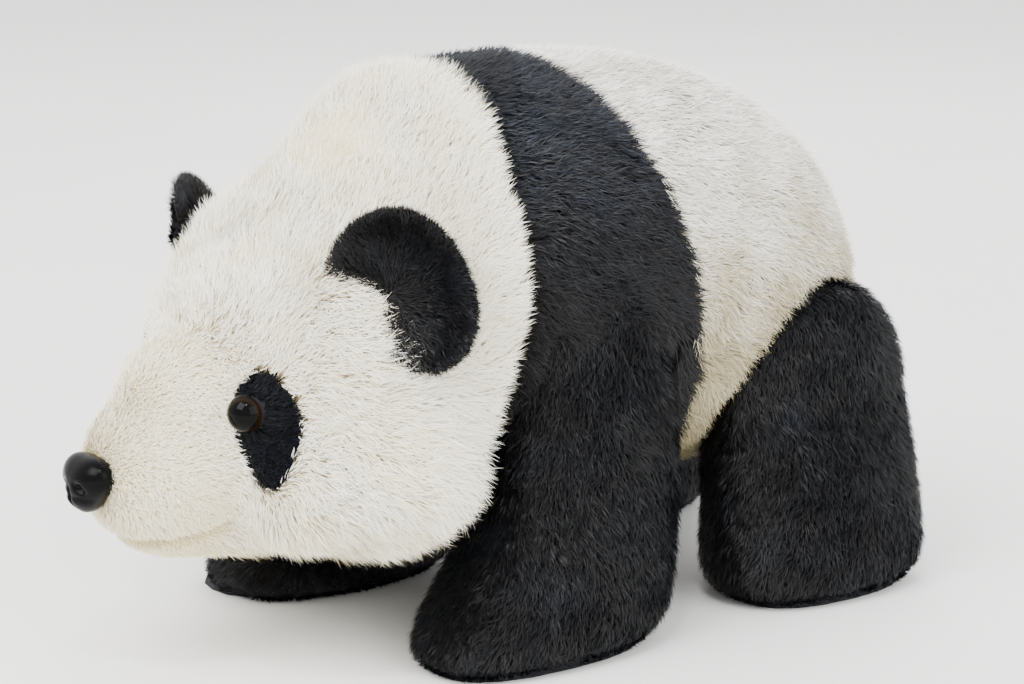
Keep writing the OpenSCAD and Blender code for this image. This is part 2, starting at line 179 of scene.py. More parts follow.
def muzzleRows(t):
    w, h = muzzle["width"] / 2 - t, muzzle["height"] / 2 - t
    e = 2 / muzzle["fullness"]
    rows = []
    for v in np.radians(np.linspace(88, 0, 24)):
        y = muzzle["start"] + (muzzle["tip"] - muzzle["start"] + t) * np.sin(v) ** e
        rows.append((y, muzzle["z"], w * np.cos(v) ** e, h * np.cos(v) ** e))
    rows.append((muzzle["start"] + 30, muzzle["z"] + 6, w, h))
    return rows


def ball(centre, radii, n=32):
    rows = [(centre[1] + radii[1] * np.sin(v), centre[2], radii[0] * np.cos(v), radii[2] * np.cos(v))
            for v in np.radians(np.linspace(-87, 87, n))]
    rings = ringSet(rows, 40)
    rings[:, :, 0] += centre[0]
    return rings


def legRings(leg, t):
    rings = []
    a = np.linspace(0, 2 * np.pi, 64, endpoint=False)

    def ring(z, x0, x1, y, ry):
        return [((x0 + x1) / 2 + (x1 - x0) / 2 * power(np.cos(k), 0.8), y + ry * power(np.sin(k), 0.8), z)
                for k in a]
    hz = leg["z"]
    for z in [0.8, 2.5, 5, 8, 12, 17, 22, 28] + list(np.linspace(34, hz, 14)):
        s = 1 - z / hz
        f = math.sqrt(1 - ((26 - z) / 26) ** 2 * 0.36) if z < 26 else 1
        x1 = legTop + (legOuter - legTop) * s * (2 - s)
        x0 = legInner - leg["toeIn"] * smoothStep(-z, -70, -20)
        snug = t - (t - 1.0) * smoothStep(-z, -30, -8)
        middle, half = (x0 + x1) / 2, (x1 - x0) / 2 * f - snug
        ry = (leg["round"] + (leg["paw"] - leg["round"]) * s * s) * f - snug
        rings.append(ring(z, middle - half, middle + half, leg["y"] - leg["step"] * s * s, ry))
    for v in np.radians(np.linspace(8, 86, 12)):
        r = leg["round"] - t
        pull = 3 * (1 - math.cos(v))
        rings.append(ring(hz + r * math.sin(v), legInner + t, legTop - t - pull, leg["y"], r * math.cos(v)))
    rings = np.array(rings)
    rings[:, :, 0] *= leg["side"]
    return rings


def joinForms(name, parts):
    bpy.ops.object.select_all(action="DESELECT")
    for part in parts:
        part.select_set(True)
    bpy.context.view_layer.objects.active = parts[0]
    if len(parts) > 1:
        bpy.ops.object.join()
    parts[0].name = name
    return parts[0]


def applied(obj):
    graph = bpy.context.evaluated_depsgraph_get()
    mesh = bpy.data.meshes.new_from_object(obj.evaluated_get(graph))
    obj.modifiers.clear()
    obj.data = mesh
    return obj


def remeshed(obj, voxel, smooth=4):
    m = obj.modifiers.new("even", "REMESH")
    m.mode = "VOXEL"
    m.voxel_size = voxel / 1000
    s = obj.modifiers.new("soft", "SMOOTH")
    s.factor = 0.5
    s.iterations = smooth
    return applied(obj)


def points(obj):
    co = np.empty(len(obj.data.vertices) * 3)
    obj.data.vertices.foreach_get("co", co)
    return co.reshape(-1, 3) * 1000


def setPoints(obj, p):
    obj.data.vertices.foreach_set("co", (p / 1000).ravel())
    obj.data.update()


def normals(obj):
    co = np.empty(len(obj.data.vertices) * 3)
    obj.data.vertices.foreach_get("normal", co)
    return co.reshape(-1, 3)


skins = {}
skins["trunk"] = remeshed(meshFrom("trunkSkin", ringSet(trunkRows(trunk["inset"]), 96)), trunk["voxel"], 3)
headParts = [meshFrom("headForm", ringSet(headRows(head["inset"]), 96)),
             meshFrom("muzzleForm", ringSet(muzzleRows(muzzle["inset"]), 72)),
             meshFrom("bridgeForm", ball((0, -138, 112), (30, 36, 24))),
             meshFrom("cheekFormLeft", ball((46, -92, 82), (44, 48, 42))),
             meshFrom("cheekFormRight", ball((-46, -92, 82), (44, 48, 42)))]
skins["head"] = remeshed(joinForms("headSkin", headParts), head["voxel"], 6)
for name, leg in legs.items():
    skins[name] = remeshed(meshFrom(name + "_skin", legRings(leg, 2.4)), 5, 2)
print("forms made")


# ---- stuffing: each form swells between its seams ----

swell = {"pressure": 4.0, "frames": 20, "cap": 3.0}


def seamDistance(name, p):
    x, y, z = p.T
    if name == "trunk":
        belly = np.abs(np.abs(x) - 28) + 200 * (z > 110)
        return np.minimum.reduce([np.abs(y - bandBack(z)), belly, np.abs(x) + 60 * (z > 150)])
    if name == "head":
        return np.minimum(np.abs(np.abs(x) - 27) + 80 * (y < -120), np.abs(x) + 40 * (z > 75))
    return np.abs(np.abs(x) - 72.5)


def bandBack(z):
    return np.interp(z, [60, 109, 163, 189, 215, 238], [58, 52, 43, 36, 25, 14])


def stuffAll():
    starts = {}
    for name, obj in skins.items():
        p = points(obj)
        group = obj.vertex_groups.new(name="seam")
        near = np.clip(1 - seamDistance(name, p) / 5, 0, 1)
        for i in np.nonzero(near > 0.3)[0]:
            group.add([int(i)], float(near[i]), "REPLACE")
        cloth = obj.modifiers.new("stuffed", "CLOTH")
        s = cloth.settings
        s.quality = 4
        s.use_pressure = True
        s.uniform_pressure_force = swell["pressure"]
        s.effector_weights.gravity = 0
        s.vertex_group_mass = "seam"
        s.tension_stiffness = 12
        s.compression_stiffness = 12
        cloth.point_cache.frame_end = swell["frames"]
        starts[name] = p
    for number in range(1, swell["frames"] + 1):
        scene.frame_set(number)
    for name, obj in skins.items():
        applied(obj)
        move = points(obj) - starts[name]
        size = np.linalg.norm(move, axis=1)[:, None]
        setPoints(obj, starts[name] + move * np.minimum(1, swell["cap"] / np.maximum(size, 1e-6)))
        obj.vertex_groups.clear()
    scene.frame_set(1)


stuffAll()
print("forms stuffed")


def refined(obj):
    m = obj.modifiers.new("round", "SUBSURF")
    m.levels = m.render_levels = 1
    applied(obj)
    for face in obj.data.polygons:
        face.use_smooth = True
    return obj


for obj in skins.values():
    refined(obj)


# how far the forehead, the crown and the cheeks give way from the plain form
crown = {"at": [-150, -135, -118, -95, -70, -46, -20], "drop": [0, 9, 21, 26, 19, 7, 4],
         "earX": 62, "earY": -106, "earRadius": 22, "jowl": 13}


def shapeHead(obj):
    p = points(obj)
    x, y, z = p.T
    middle = head["centre"] + head["fall"] * (np.minimum(y, head["rim"]) - head["rim"])
    away = (np.abs(x) - crown["earX"]) ** 2 + (y - crown["earY"]) ** 2
    nearEar = np.exp(-away / crown["earRadius"] ** 2)
    drop = np.interp(y, crown["at"], crown["drop"]) * smoothStep(p[:, 2] - middle, 5, 65)
    z = z - drop * (1 - 0.75 * nearEar)
    z = z + crown["jowl"] * smoothStep(-p[:, 2], -92, -50) * smoothStep(y, -140, -110)
    setPoints(obj, np.stack([x, y, z], 1))


def rimAt(z):
    below = head["centre"] - z
    lean = np.tan(np.radians(np.where(below > 0, head["leanDown"], head["leanUp"])))
    return head["seat"] - lean * below + head["topBack"] * smoothStep(z, 200, 230)


# the head's rear turns on the trunk's round front
def hollowHead(obj):
    p = points(obj)
    x, y, z = p.T
    flat = ((x / 86) ** 2 + ((z - 143) / 93) ** 2)
    dome = trunk["neck"] - 98 * np.sqrt(np.clip(1 - flat, 0, 1))
    rim = rimAt(z)
    y = np.where(y > rim, rim + (y - rim) * 0.12, y)
    y = np.where((y > dome) & (flat < 1) & (y > rim - 1), dome, y)
    setPoints(obj, np.stack([x, y, z], 1))


shapeHead(skins["head"])
hollowHead(skins["head"])


# the trunk's round front stays well inside the head
def drawInFront(obj, start=-30, reach=42):
    p = points(obj)
    ahead = np.maximum(start - p[:, 1], 0)
    p[:, 1] = np.where(ahead > 0, start - reach * (1 - np.exp(-ahead / reach)), p[:, 1])
    setPoints(obj, p)


drawInFront(skins["trunk"])


eyeSpot = {"x": 44, "y": -142, "z": 112, "patchOut": 5.5, "patchDown": -7.0, "long": 22.5, "short": 14.5,
           "turn": 14}
eyeTurn = math.radians(30.7)


def eyeCentre(side):
    axis = np.array([side * math.sin(eyeTurn), -math.cos(eyeTurn), 0])
    return np.array([side * eyeSpot["x"], eyeSpot["y"], eyeSpot["z"]]), axis


def eyeDistance(p, side):
    centre, axis = eyeCentre(side)
    off = p - centre
    return np.linalg.norm(off - np.outer(off @ axis, axis), axis=1) + 60 * (p[:, 1] > -110)


# the mouth: a pressed line along each side of the muzzle
mouth = {"front": 56, "back": 66, "depth": 2.2, "width": 3.2}


def mouthLine(p):
    x, y, z = p.T
    line = np.interp(y, [-190, -172, -140], [mouth["front"], mouth["front"] + 3, mouth["back"]])
    return np.abs(z - line) + 30 * smoothStep(y, -146, -138)


def pressMouth(obj):
    p, n = points(obj), normals(obj)
    depth = mouth["depth"] * np.exp(-(mouthLine(p) / mouth["width"]) ** 2)
    cheekLine = (np.abs(p[:, 0]) > 20) * (p[:, 2] > 62) * (p[:, 2] < 112)
    crease = 1.6 * np.exp(-((p[:, 1] + 146) / 5) ** 2) * cheekLine
    seat = 2.4 * sum(np.exp(-(eyeDistance(p, side) / 9) ** 4) for side in (1, -1))
    setPoints(obj, p - n * (depth + crease - seat)[:, None])


pressMouth(skins["head"])


# ---- ears: cupped flaps on a curved base line ----

ear = {"base": [(56, -112, 170), (62, -106, 171), (68, -99, 168), (73, -94, 162), (77, -93, 152),
                (80, -94, 141), (82, -97, 131)],
       "rise": [(10, 2, 16), (13, 5, 21), (17, 9, 22), (21, 13, 17), (24, 17, 9), (24, 16, 2), (17, 9, -3)],
       "thick": 10.0, "rightShift": (-2, -4, -7)}


def earSkin(side):
    base, rise = np.array(ear["base"], float), np.array(ear["rise"], float)
    k = np.linspace(0, 1, len(base))
    u = np.linspace(0, 1, 40)
    curve = np.stack([np.interp(u, k, base[:, i]) for i in range(3)], 1)
    lift = np.stack([np.interp(u, k, rise[:, i]) for i in range(3)], 1)
    for _ in range(6):
        curve[1:-1] = (curve[:-2] + 2 * curve[1:-1] + curve[2:]) / 4
        lift[1:-1] = (lift[:-2] + 2 * lift[1:-1] + lift[2:]) / 4
    along = np.gradient(curve, axis=0)
    along /= np.linalg.norm(along, axis=1)[:, None]
    rings = []
    n = 40
    for i, s in enumerate(u):
        across = np.cross(along[i], lift[i])
        across /= np.linalg.norm(across)
        full = max(0.12, (1 - (2 * s - 1) ** 6) ** 0.5)
        ring = []
        for a in np.linspace(0, 2 * np.pi, n, endpoint=False):
            up, out = (1 + np.cos(a)) / 2, np.sin(a)
            up = up * 1.4 - 0.4
            cup = 5.0 * np.sin(np.pi * np.clip(up, 0, 1))
            ring.append(curve[i] + lift[i] * up * (0.35 + 0.65 * full)
                        + across * (out * ear["thick"] / 2 * full - cup * full))
        rings.append(ring)
    rings = np.array(rings)
    rings[:, :, 0] *= side
    if side < 0:
        rings += ear["rightShift"]
    return refined(remeshed(meshFrom("earSkin" + ("Left" if side > 0 else "Right"), rings), 2.4, 3))


skins["ear_left"] = earSkin(1)
skins["ear_right"] = earSkin(-1)

tail = {"start": (0, 166, 135), "end": (0, 192, 113), "radius": 14}


def tailSkin():
    a, b = np.array(tail["start"], float), np.array(tail["end"], float)
    rings = ball((0, 0, 0), (tail["radius"] + 1, 21, tail["radius"] - 2))
    turn = math.atan2(b[2] - a[2], b[1] - a[1])
    y, z = rings[:, :, 1].copy(), rings[:, :, 2].copy()
    rings[:, :, 1] = y * math.cos(turn) - z * math.sin(turn) + (a[1] + b[1]) / 2
    rings[:, :, 2] = y * math.sin(turn) + z * math.cos(turn) + (a[2] + b[2]) / 2
    return refined(remeshed(meshFrom("tailSkin", rings), 3, 2))


skins["tail"] = tailSkin()
print("skins made")


# ---- what grows where: nap direction, pile length, shade and cover, per vertex ----

def insideTrunk(p):
    x, y, z = p.T
    zc = trunkAxis(y)
    radial = np.sqrt((x / 85) ** 2 + ((z - zc) / 92) ** 2)
    back = np.clip((y - trunk["neck"]) / 186, 0, 3)
    front = np.clip((trunk["neck"] - y) / 92, 0, 3)
    e = trunk["fullness"]
    q = np.where(y > trunk["neck"], (back ** e + radial ** e) ** (1 / e), np.sqrt(front ** 2 + radial ** 2))
    return (1 - q) * 85


def insideLeg(p, leg, t=6):
    x, y, z = p.T
    hz = leg["z"]
    s = np.clip(1 - z / hz, 0, 1)
    outer = legTop + (legOuter - legTop) * s * (2 - s) - t
    ry = leg["round"] + (leg["paw"] - leg["round"]) * s * s - t
    low = ry - np.abs(y - leg["y"] + leg["step"] * s * s)
    high = leg["round"] - t - np.hypot(y - leg["y"], z - hz)
    side = np.minimum(x * leg["side"] - legInner - t + 4, outer - x * leg["side"])
    return np.minimum(np.where(z > hz, high, low), side)


def tangent(direction, n):
    d = direction - n * (direction * n).sum(1)[:, None]
    return d / np.maximum(np.linalg.norm(d, axis=1), 1e-6)[:, None]


def vectorNoise(p, size, seed):
    rng = np.random.default_rng(seed)
    total = np.zeros(len(p))
    for _ in range(7):
        k = rng.normal(size=3)
        k *= 2 * np.pi / size * rng.uniform(0.6, 1.3) / np.linalg.norm(k)
        total += np.sin(p @ k + rng.uniform(0, 6.28))
    return total / 2.6


def writeAttributes(obj, values):
    for name, v in values.items():
        old = obj.data.attributes.get(name)
        if old:
            obj.data.attributes.remove(old)
        vector = v.ndim == 2
        a = obj.data.attributes.new(name, "FLOAT_VECTOR" if vector else "FLOAT", "POINT")
        a.data.foreach_set("vector" if vector else "value", v.astype(np.float32).ravel())


def patchDistance(p, side):
    x, y, z = p.T
    out = np.array([side * math.cos(eyeTurn), math.sin(eyeTurn), 0])
    centre, _ = eyeCentre(side)
    u = (p - centre) @ out - eyeSpot["patchOut"]
    w = z - eyeSpot["z"] - eyeSpot["patchDown"]
    t = math.radians(eyeSpot["turn"])
    a = u * math.cos(t) + w * math.sin(t)
    b = -u * math.sin(t) + w * math.cos(t)
    q = np.sqrt((a / eyeSpot["short"]) ** 2 + (b / eyeSpot["long"]) ** 2)
    return np.where((y < -95) & (x * side > 12), (1 - q) * eyeSpot["short"], -40)


def describeHead(obj):
    p, n = points(obj), normals(obj)
    x, y, z = p.T
    long = smoothStep(y, -150, -128)
    cheek = smoothStep(-z, -128, -86) * smoothStep(y, -140, -100)
    comb = np.stack([0.35 * x / 90, 1.0 + 0 * x, 0.9 * (z - 112) / 99 - 0.15], 1)
    comb[:, 2] -= 0.35 * cheek
    comb[:, 0] += 0.25 * vectorNoise(p, 46, 3)
    comb[:, 2] += 0.30 * vectorNoise(p, 40, 4)
    pile = 3.4 + 4.6 * long + 4.0 * cheek * smoothStep(y, -125, -80)
    patch = np.maximum(patchDistance(p, 1), patchDistance(p, -1))
    rim = rimAt(z)
    nose = np.hypot(x / 10.5, (z - 82.5) / 9.5) + 9 * (y > -170)
    # painted shade: the pile is painted darker underneath the head and along the pressed mouth line; the
    # rest varies at random, a little darker over the muzzle
    under = smoothStep(-z, -88, -40)
    shade = 0.78 - 0.34 * under - 0.26 * np.exp(-(mouthLine(p) / 2.2) ** 2) + 0.06 * vectorNoise(p, 30, 5)
    shade -= 0.05 * smoothStep(-y, 138, 152)
    eyes = np.minimum(eyeDistance(p, 1), eyeDistance(p, -1))
    open_ = np.minimum.reduce([rim + 3 - y, (nose - 1) * 10, eyes - 6.4])
    writeAttributes(obj, {"comb": tangent(comb, n), "pile": pile, "lift": 0.75 + 0.25 * long,
                          "shade": shade, "patch": patch, "open": open_,
                          "muzzle": -146 - y + 0 * x, "side": x, "top": z - 190 - 0.2 * y})


def describeTrunk(obj):
    p, n = points(obj), normals(obj)
    x, y, z = p.T
    comb = np.stack([0.25 * np.sign(x) * smoothStep(z, 190, 225), 0.9 + 0 * x, -0.55 - 0.3 * (z < 150)], 1)
    comb[:, 1] += 0.3 * vectorNoise(p, 50, 8)
    comb[:, 2] += 0.35 * vectorNoise(p, 44, 9)
    hidden = np.maximum.reduce([insideLeg(p, leg) for leg in legs.values()])
    open_ = np.minimum(-hidden, y - rimAt(z) + 5)
    # painted shade: the pile, the black band's included, is painted darker towards the bottom and lighter
    # on top, with random variation
    shade = 0.12 + 0.74 * smoothStep(z, 60, 232) + 0.08 * vectorNoise(p, 34, 11)
    writeAttributes(obj, {"comb": tangent(comb, n), "pile": 6.4 + 0.8 * vectorNoise(p, 26, 12),
                          "lift": np.full(len(p), 0.9), "shade": shade, "open": open_,
                          "band": bandBack(z) - y, "side": x, "top": z - 205})


def describeLeg(obj, leg):
    p, n = points(obj), normals(obj)
    x, y, z = p.T
    comb = np.stack([0.12 * np.sign(x), -0.15 - 0.5 * smoothStep(-z, -50, -15), -1.0 + 0 * x], 1)
    foot = smoothStep(-z, -14, -5)[:, None]
    around = np.stack([n[:, 0], n[:, 1], 0.15 + 0 * x], 1)
    comb = comb * (1 - foot) + around * foot
    comb[:, 0] += 0.2 * vectorNoise(p, 34, 15)
    comb[:, 1] += 0.3 * vectorNoise(p, 38, 16)
    pile = 5.2 - 1.8 * foot[:, 0]
    shade = 0.5 + 0.14 * vectorNoise(p, 26, 17)
    writeAttributes(obj, {"comb": tangent(comb, n), "pile": pile, "lift": 0.8 + 0 * x, "shade": shade,
                          "open": np.minimum(6 - insideTrunk(p), z - 1.0), "side": x})


def describeEar(obj, side):
    p, n = points(obj), normals(obj)
    base = np.mean(np.array(ear["base"], float), 0) * [side, 1, 1]
    comb = p - base
    comb[:, 1] += 4 * vectorNoise(p, 20, 19)
    writeAttributes(obj, {"comb": tangent(comb, n), "pile": np.full(len(p), 4.0),
                          "lift": np.full(len(p), 0.8), "shade": 0.5 + 0.14 * vectorNoise(p, 18, 20),
                          "open": np.full(len(p), 5.0)})


def describeTail(obj):
    p, n = points(obj), normals(obj)
    comb = np.tile([0.0, 0.6, -0.8], (len(p), 1))
    writeAttributes(obj, {"comb": tangent(comb, n), "pile": np.full(len(p), 6.0),
                          "lift": np.full(len(p), 0.9), "shade": 0.45 + 0.1 * vectorNoise(p, 18, 21),
                          "open": 4 - insideTrunk(p)})


describeHead(skins["head"])
describeTrunk(skins["trunk"])
for name, leg in legs.items():
    describeLeg(skins[name], leg)
describeEar(skins["ear_left"], 1)
describeEar(skins["ear_right"], -1)
describeTail(skins["tail"])
print("nap described")


# ---- materials ----

def newMaterial(name):
    m = bpy.data.materials.new(name)
    m.use_nodes = True
    m.node_tree.nodes.clear()
    out = addNode(m.node_tree, "ShaderNodeOutputMaterial")
    shader = addNode(m.node_tree, "ShaderNodeBsdfPrincipled")
    m.node_tree.links.new(shader.outputs[0], out.inputs[0])
    return m, m.node_tree, shader


# pile fibres: tint differs from strand to strand, and each strand is painted darker at its root as painted
# shade between the strands
def fibreMaterial(name, stops, rootShade, rootShadeReach, rough, sheen, sheenTint):
    m, t, shader = newMaterial(name)
    uv = addNode(t, "ShaderNodeUVMap", {"uv_map": "OFBake"})
    parts = addNode(t, "ShaderNodeSeparateXYZ", links={0: uv.outputs[0]})
    tint = ramp(t, parts.outputs[0], stops)
    # painted shade: near its root each strand's colour is multiplied towards the root shade colour
    depth = addNode(t, "ShaderNodeMapRange", {1: 0.0, 2: rootShadeReach, 3: 1.0, 4: 0.0}, {0: parts.outputs[1]})
    mix = addNode(t, "ShaderNodeMix", {"data_type": "RGBA", "blend_type": "MULTIPLY", 7: linear(rootShade)},
                  {0: depth.outputs[0], 6: tint})
    t.links.new(mix.outputs[2], shader.inputs["Base Color"])
    shader.inputs["Roughness"].default_value = rough
    shader.inputs["Sheen Weight"].default_value = sheen
    shader.inputs["Sheen Roughness"].default_value = 0.4
    shader.inputs["Sheen Tint"].default_value = linear(sheenTint)
    shader.inputs["Specular IOR Level"].default_value = 0.25
    return m


def pattern(t, kind, settings):
    co = addNode(t, "ShaderNodeTexCoord")
    return addNode(t, kind, settings, {"Vector": co.outputs["Object"]}).outputs


def relief(t, shader, height, strength, distance):
    bump = addNode(t, "ShaderNodeBump", {"Strength": strength, "Distance": distance}, {"Height": height})
    t.links.new(bump.outputs[0], shader.inputs["Normal"])


# the knitted backing under the pile, seen between the roots
def backingMaterial(name, colour, dark, attribute=None, other=None, scale=900):
    m, t, shader = newMaterial(name)
    knit = pattern(t, "ShaderNodeTexVoronoi", {"Scale": scale})
    cloud = pattern(t, "ShaderNodeTexNoise", {"Scale": 60, "Detail": 3})
    tone = addNode(t, "ShaderNodeMix", {"data_type": "RGBA", 6: linear(colour), 7: linear(dark)},
                   {0: cloud["Fac"]})
    last = tone.outputs[2]
    if attribute:
        a = addNode(t, "ShaderNodeAttribute", {"attribute_name": attribute})
        edge = addNode(t, "ShaderNodeMapRange", {1: -0.6, 2: 0.6}, {0: a.outputs["Fac"]})
        last = addNode(t, "ShaderNodeMix", {"data_type": "RGBA", 7: linear(other)},
                       {0: edge.outputs[0], 6: last}).outputs[2]
    t.links.new(last, shader.inputs["Base Color"])
    relief(t, shader, knit[0], 0.5, 0.0004)
    shader.inputs["Roughness"].default_value = 0.9
    return m


creamStops = [(0.0, "#c6b384"), (0.35, "#eee0b8"), (0.65, "#fbf5e0"), (1.0, "#fffef8")]
muzzleStops = [(0.0, "#b9a670"), (0.35, "#ebdfb2"), (0.65, "#f9f2d9"), (1.0, "#fefbef")]
greyStops = [(0.0, "#8f8564"), (0.35, "#b9ae8e"), (0.65, "#dcd8cc"), (1.0, "#f8f7f3")]
blackStops = [(0.0, "#020203"), (0.4, "#040406"), (0.75, "#090a0e"), (1.0, "#1c212b")]

# the second colour of each fur is the painted shade at its strands' roots
furs = {
    # long cream pile of the head, near white at the tips
    "cream": fibreMaterial("creamPlushFibre", creamStops, "#d8c79c", 0.5, 0.75, 0.25, "#fffaf0"),
    # short yellower pile on the muzzle
    "muzzle": fibreMaterial("shortMuzzleFibre", muzzleStops, "#cdb884", 0.5, 0.8, 0.2, "#fff6e0"),
    # greyer pile of the back and flanks, painted darker low down as painted shade
    "grey": fibreMaterial("greyWhitePlushFibre", greyStops, "#c4b894", 0.5, 0.78, 0.2, "#f4f4ff"),
    # black pile with a cool glint along the fibres
    "black": fibreMaterial("blackPlushFibre", blackStops, "#808080", 0.5, 0.45, 0.03, "#8090b0")}
backings = {
    "head": backingMaterial("creamKnitBacking", "#eadfc0", "#d3c294", "patch", "#0c0c10"),
    "trunk": backingMaterial("greyKnitBacking", "#bdb298", "#9c9274", "band", "#0a0a0e"),
    "black": backingMaterial("blackKnitBacking", "#0a0a0d", "#060608"),
    "tail": backingMaterial("tailKnitBacking", "#bdb298", "#9c9274")}


# ---- pile strands, grown by Geometry Nodes ----

def bladeObject():
    mesh = bpy.data.meshes.new("strandBlade")
    # each corner's place, then how far it lies along the strand
    spots = [(-0.5, 0, 0, 0), (0.5, 0, 0, 0), (-0.42, 0.42, 0.40, 0.5), (0.42, 0.42, 0.40, 0.5),
             (0, 1, 0.62, 1)]
    mesh.from_pydata([s[:3] for s in spots], [], [(0, 1, 3, 2), (2, 3, 4)])
    a = mesh.attributes.new("alongStrand", "FLOAT", "POINT")
    a.data.foreach_set("value", [s[3] for s in spots])
    for face in mesh.polygons:
        face.use_smooth = True
    obj = bpy.data.objects.new("strandBlade", mesh)
    scene.collection.objects.link(obj)
    return obj


def strandTree():
    t = bpy.data.node_groups.new("pileStrands", "GeometryNodeTree")
    face = t.interface
    face.new_socket("Geometry", in_out="INPUT", socket_type="NodeSocketGeometry")
    for name, kind, value in (("Strand", "NodeSocketObject", None), ("Density", "NodeSocketFloat", 1e6),
                              ("Length", "NodeSocketFloat", 0.001), ("Width", "NodeSocketFloat", 0.0004),
                              ("Tuft", "NodeSocketFloat", 0.6), ("Tuft Scale", "NodeSocketFloat", 140),
                              ("Turn", "NodeSocketFloat", 0.4), ("Tint Spread", "NodeSocketFloat", 0.4),
                              ("Seed", "NodeSocketInt", 1), ("Material", "NodeSocketMaterial", None)):
        s = face.new_socket(name, in_out="INPUT", socket_type=kind)
        if value is not None:
            s.default_value = value
    face.new_socket("Geometry", in_out="OUTPUT", socket_type="NodeSocketGeometry")
    g = addNode(t, "NodeGroupInput").outputs

    def named(name, kind="FLOAT"):
        node = addNode(t, "GeometryNodeInputNamedAttribute", {"data_type": kind})
        node.inputs["Name"].default_value = name
        return node.outputs["Attribute"]

    def math_(operation, a, b):
        node = addNode(t, "ShaderNodeMath", {"operation": operation})
        for i, v in enumerate((a, b)):
            if isinstance(v, (int, float)):
                node.inputs[i].default_value = v
            else:
                t.links.new(v, node.inputs[i])
        return node.outputs[0]

    def randomFloat(low, high, offset):
        node = addNode(t, "FunctionNodeRandomValue", {"data_type": "FLOAT"})
        node.inputs[2].default_value = low
        node.inputs[3].default_value = high
        t.links.new(math_("ADD", g["Seed"], offset), node.inputs["Seed"])
        return node.outputs[1]

    scatter = addNode(t, "GeometryNodeDistributePointsOnFaces", {"distribute_method": "RANDOM"},
                      {"Mesh": g["Geometry"], "Density": g["Density"], "Seed": g["Seed"]})
    covered = addNode(t, "FunctionNodeCompare", {"data_type": "FLOAT", "operation": "LESS_THAN"},
                      {"A": named("mask")})
    kept = addNode(t, "GeometryNodeDeleteGeometry", {"domain": "POINT"},
                   {"Geometry": scatter.outputs["Points"], "Selection": covered.outputs[0]})
    place = addNode(t, "GeometryNodeInputPosition")
    cloud = addNode(t, "ShaderNodeTexNoise", {"noise_dimensions": "3D", "Detail": 2.0},
                    {"Vector": place.outputs[0], "Scale": g["Tuft Scale"]})
    centred = addNode(t, "ShaderNodeVectorMath", {"operation": "SUBTRACT", 1: (0.5, 0.5, 0.5)},
                      {0: cloud.outputs["Color"]})
    sway = addNode(t, "ShaderNodeVectorMath", {"operation": "SCALE"},
                   {0: centred.outputs[0], "Scale": math_("MULTIPLY", g["Tuft"], 5.0)})
    heading = addNode(t, "ShaderNodeVectorMath", {"operation": "ADD"},
                      {0: sway.outputs[0], 1: named("comb", "FLOAT_VECTOR")})
    facing = addNode(t, "FunctionNodeAxesToRotation", {"primary_axis": "Z", "secondary_axis": "Y"},
                     {"Primary Axis": scatter.outputs["Normal"], "Secondary Axis": heading.outputs[0]})
    jitter = addNode(t, "ShaderNodeCombineXYZ")
    t.links.new(randomFloat(-0.22, 0.30, 11), jitter.inputs[0])
    t.links.new(math_("MULTIPLY", g["Turn"], randomFloat(-1, 1, 12)), jitter.inputs[2])
    t.links.new(randomFloat(-0.5, 0.5, 13), jitter.inputs[1])
    turned = addNode(t, "FunctionNodeRotateRotation", {"rotation_space": "LOCAL"},
                     {0: facing.outputs[0], 1: jitter.outputs[0]})
    tall = math_("MULTIPLY", math_("MULTIPLY", g["Length"], named("pile")),
                 math_("ADD", randomFloat(0.72, 1.12, 14), math_("MULTIPLY", cloud.outputs["Fac"], 0.3)))
    size = addNode(t, "ShaderNodeCombineXYZ", links={
        0: math_("MULTIPLY", g["Width"], randomFloat(0.7, 1.3, 15)), 1: tall,
        2: math_("MULTIPLY", tall, named("lift"))})
    blade = addNode(t, "GeometryNodeObjectInfo", links={0: g["Strand"]})
    grown = addNode(t, "GeometryNodeInstanceOnPoints", links={
        "Points": kept.outputs[0], "Instance": blade.outputs["Geometry"],
        "Rotation": turned.outputs[0], "Scale": size.outputs[0]})
    tint = math_("ADD", named("shade"), math_("MULTIPLY", g["Tint Spread"], randomFloat(-0.5, 0.5, 16)))
    tinted = addNode(t, "GeometryNodeStoreNamedAttribute", {"data_type": "FLOAT", "domain": "INSTANCE"},
                     {"Geometry": grown.outputs[0], "Value": tint})
    tinted.inputs["Name"].default_value = "strandTint"
    solid = addNode(t, "GeometryNodeRealizeInstances", links={"Geometry": tinted.outputs[0]})
    pair = addNode(t, "ShaderNodeCombineXYZ", links={0: named("strandTint"), 1: named("alongStrand")})
    mapped = addNode(t, "GeometryNodeStoreNamedAttribute", {"data_type": "FLOAT2", "domain": "CORNER"},
                     {"Geometry": solid.outputs[0], "Value": pair.outputs[0]})
    mapped.inputs["Name"].default_value = "OFBake"
    coloured = addNode(t, "GeometryNodeSetMaterial", links={"Geometry": mapped.outputs[0],
                                                            "Material": g["Material"]})
    addNode(t, "NodeGroupOutput", links={0: coloured.outputs[0]})
    return t


blade = bladeObject()
strands = strandTree()


def attributeOf(obj, name):
    a = obj.data.attributes[name]
    v = np.empty(len(a.data), np.float32)
    a.data.foreach_get("value", v)
    return v


